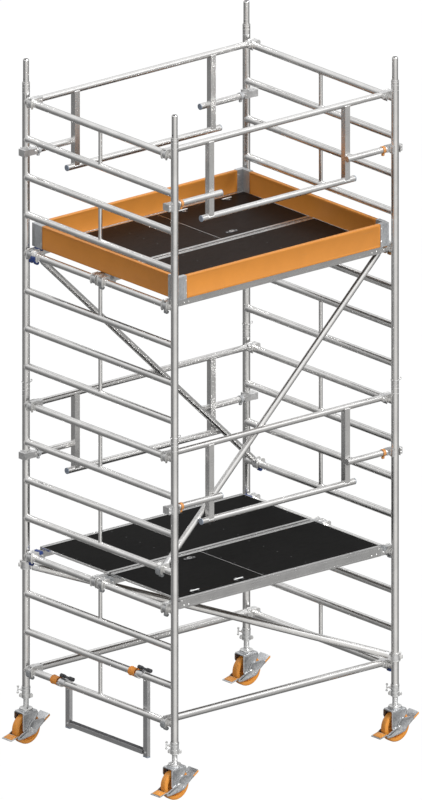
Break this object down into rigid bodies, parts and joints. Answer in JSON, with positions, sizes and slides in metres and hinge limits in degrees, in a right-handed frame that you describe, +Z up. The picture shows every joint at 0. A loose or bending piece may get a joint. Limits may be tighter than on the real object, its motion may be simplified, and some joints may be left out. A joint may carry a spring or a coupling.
{
  "type": "mobile tower scaffold",
  "caption": "Tall mobile access tower of stacked ladder frames with braces, working decks with hatches, toe boards, guardrails and lockable swivel castors.",
  "frame": {"origin": "middle of the footprint on the floor, under the four castor wheels", "axes": "+X along the decks, from the frame with the access bracket to the plain one; +Y along the rungs; +Z up"},
  "size_m": [2.12, 1.5636, 4.515],
  "materials": {
    "aluminium_tube": "extruded mill-finish aluminium tube, lightly drawn along its length",
    "bracket_aluminium": "ribbed extruded and cast fittings, satin",
    "galvanised_steel": "hot-dip galvanised pressed steel with faint spangle",
    "orange_board": "coated timber board, smooth satin orange",
    "film_plywood": "phenolic film-faced plywood, dark brown, fine anti-slip pattern",
    "wheel_plastic": "moulded orange polyamide wheel with smooth tread",
    "lock_plastic": "moulded blue lock tongues",
    "orange_metal": "orange powder coat",
    "knob_plastic": "black moulded grip"
  },
  "bodies": {
    "tower": {"frame_lower_left": "aluminium_tube", "frame_lower_right": "aluminium_tube", "frame_upper_left": "aluminium_tube", "frame_upper_right": "aluminium_tube", "frame_clips": "galvanised_steel", "base_beam_front": "aluminium_tube", "base_beam_rear": "aluminium_tube", "plan_brace": "aluminium_tube", "brace_front": "aluminium_tube", "brace_rear": "aluminium_tube", "brace_locks": "lock_plastic", "guardrail_lower_front": "aluminium_tube", "guardrail_lower_rear": "aluminium_tube", "guardrail_upper_front": "aluminium_tube", "guardrail_upper_rear": "aluminium_tube", "guardrail_locks": "orange_metal", "toeboard_front": "orange_board", "toeboard_rear": "orange_board", "toeboard_left": "orange_board", "toeboard_right": "orange_board", "toeboard_brackets": "bracket_aluminium", "deck_lower_front": "aluminium_tube", "deck_lower_rear": "aluminium_tube", "deck_upper_front": "aluminium_tube", "deck_upper_rear": "aluminium_tube", "deck_lower_front_panel": "film_plywood", "deck_lower_rear_panel": "film_plywood", "deck_upper_front_panel": "film_plywood", "deck_upper_rear_panel": "film_plywood", "hatch_pins": "galvanised_steel", "wind_locks": "lock_plastic", "step_bracket": "aluminium_tube", "step_bracket_clamps": "orange_metal", "step_bracket_knobs": "knob_plastic"},
    "spindle_fl": {"spindle_fl": "galvanised_steel"},
    "nut_fl": {"nut_fl": "galvanised_steel"},
    "fork_fl": {"fork_fl": "galvanised_steel", "axle_fl": "galvanised_steel"},
    "wheel_fl": {"wheel_fl": "wheel_plastic"},
    "brake_lever_fl": {"brake_lever_fl": "galvanised_steel"},
    "spindle_fr": {"spindle_fr": "galvanised_steel"},
    "nut_fr": {"nut_fr": "galvanised_steel"},
    "fork_fr": {"fork_fr": "galvanised_steel", "axle_fr": "galvanised_steel"},
    "wheel_fr": {"wheel_fr": "wheel_plastic"},
    "brake_lever_fr": {"brake_lever_fr": "galvanised_steel"},
    "spindle_rl": {"spindle_rl": "galvanised_steel"},
    "nut_rl": {"nut_rl": "galvanised_steel"},
    "fork_rl": {"fork_rl": "galvanised_steel", "axle_rl": "galvanised_steel"},
    "wheel_rl": {"wheel_rl": "wheel_plastic"},
    "brake_lever_rl": {"brake_lever_rl": "galvanised_steel"},
    "spindle_rr": {"spindle_rr": "galvanised_steel"},
    "nut_rr": {"nut_rr": "galvanised_steel"},
    "fork_rr": {"fork_rr": "galvanised_steel", "axle_rr": "galvanised_steel"},
    "wheel_rr": {"wheel_rr": "wheel_plastic"},
    "brake_lever_rr": {"brake_lever_rr": "galvanised_steel"},
    "hatch_lower": {"hatch_lower": "film_plywood"},
    "hatch_upper": {"hatch_upper": "film_plywood"}
  },
  "joints": [
    {"name": "spindle_slide_fl", "type": "slide", "parent": "tower", "child": "spindle_fl", "axis": [0, 0, -1], "range_m": [-0.05, 0.25]},
    {"name": "nut_turn_fl", "type": "hinge", "parent": "tower", "child": "nut_fl", "pos_m": [-0.9, -0.72585, 0.33], "axis": [0, 0, 1], "range_deg": [-2250, 11250]},
    {"name": "swivel_fl", "type": "hinge", "parent": "spindle_fl", "child": "fork_fl", "pos_m": [-0.9, -0.72585, 0.215], "axis": [0, 0, 1], "continuous": true},
    {"name": "wheel_roll_fl", "type": "hinge", "parent": "fork_fl", "child": "wheel_fl", "pos_m": [-0.9, -0.72585, 0.1], "axis": [0, 1, 0], "continuous": true},
    {"name": "brake_rock_fl", "type": "hinge", "parent": "fork_fl", "child": "brake_lever_fl", "pos_m": [-0.9, -0.72585, 0.1], "axis": [0, 1, 0], "range_deg": [0, 22]},
    {"name": "spindle_slide_fr", "type": "slide", "parent": "tower", "child": "spindle_fr", "axis": [0, 0, -1], "range_m": [-0.05, 0.25]},
    {"name": "nut_turn_fr", "type": "hinge", "parent": "tower", "child": "nut_fr", "pos_m": [0.9, -0.72585, 0.33], "axis": [0, 0, 1], "range_deg": [-2250, 11250]},
    {"name": "swivel_fr", "type": "hinge", "parent": "spindle_fr", "child": "fork_fr", "pos_m": [0.9, -0.72585, 0.215], "axis": [0, 0, 1], "continuous": true},
    {"name": "wheel_roll_fr", "type": "hinge", "parent": "fork_fr", "child": "wheel_fr", "pos_m": [0.9, -0.72585, 0.1], "axis": [0, 1, 0], "continuous": true},
    {"name": "brake_rock_fr", "type": "hinge", "parent": "fork_fr", "child": "brake_lever_fr", "pos_m": [0.9, -0.72585, 0.1], "axis": [0, 1, 0], "range_deg": [0, 22]},
    {"name": "spindle_slide_rl", "type": "slide", "parent": "tower", "child": "spindle_rl", "axis": [0, 0, -1], "range_m": [-0.05, 0.25]},
    {"name": "nut_turn_rl", "type": "hinge", "parent": "tower", "child": "nut_rl", "pos_m": [-0.9, 0.72585, 0.33], "axis": [0, 0, 1], "range_deg": [-2250, 11250]},
    {"name": "swivel_rl", "type": "hinge", "parent": "spindle_rl", "child": "fork_rl", "pos_m": [-0.9, 0.72585, 0.215], "axis": [0, 0, 1], "continuous": true},
    {"name": "wheel_roll_rl", "type": "hinge", "parent": "fork_rl", "child": "wheel_rl", "pos_m": [-0.9, 0.72585, 0.1], "axis": [0, 1, 0], "continuous": true},
    {"name": "brake_rock_rl", "type": "hinge", "parent": "fork_rl", "child": "brake_lever_rl", "pos_m": [-0.9, 0.72585, 0.1], "axis": [0, 1, 0], "range_deg": [0, 22]},
    {"name": "spindle_slide_rr", "type": "slide", "parent": "tower", "child": "spindle_rr", "axis": [0, 0, -1], "range_m": [-0.05, 0.25]},
    {"name": "nut_turn_rr", "type": "hinge", "parent": "tower", "child": "nut_rr", "pos_m": [0.9, 0.72585, 0.33], "axis": [0, 0, 1], "range_deg": [-2250, 11250]},
    {"name": "swivel_rr", "type": "hinge", "parent": "spindle_rr", "child": "fork_rr", "pos_m": [0.9, 0.72585, 0.215], "axis": [0, 0, 1], "continuous": true},
    {"name": "wheel_roll_rr", "type": "hinge", "parent": "fork_rr", "child": "wheel_rr", "pos_m": [0.9, 0.72585, 0.1], "axis": [0, 1, 0], "continuous": true},
    {"name": "brake_rock_rr", "type": "hinge", "parent": "fork_rr", "child": "brake_lever_rr", "pos_m": [0.9, 0.72585, 0.1], "axis": [0, 1, 0], "range_deg": [0, 22]},
    {"name": "hatch_lower_hinge", "type": "hinge", "parent": "tower", "child": "hatch_lower", "pos_m": [-0.45, -0.61185, 1.2954], "axis": [1, 0, 0], "range_deg": [0, 80]},
    {"name": "hatch_upper_hinge", "type": "hinge", "parent": "tower", "child": "hatch_upper", "pos_m": [0.45, 0.61185, 3.2954], "axis": [-1, 0, 0], "range_deg": [0, 80]}
  ],
  "couplings": [
    {"joint": "nut_turn_fl", "follows": "spindle_slide_fl", "rad_per_m": 785.4},
    {"joint": "nut_turn_fr", "follows": "spindle_slide_fr", "rad_per_m": 785.4},
    {"joint": "nut_turn_rl", "follows": "spindle_slide_rl", "rad_per_m": 785.4},
    {"joint": "nut_turn_rr", "follows": "spindle_slide_rr", "rad_per_m": 785.4}
  ]
}
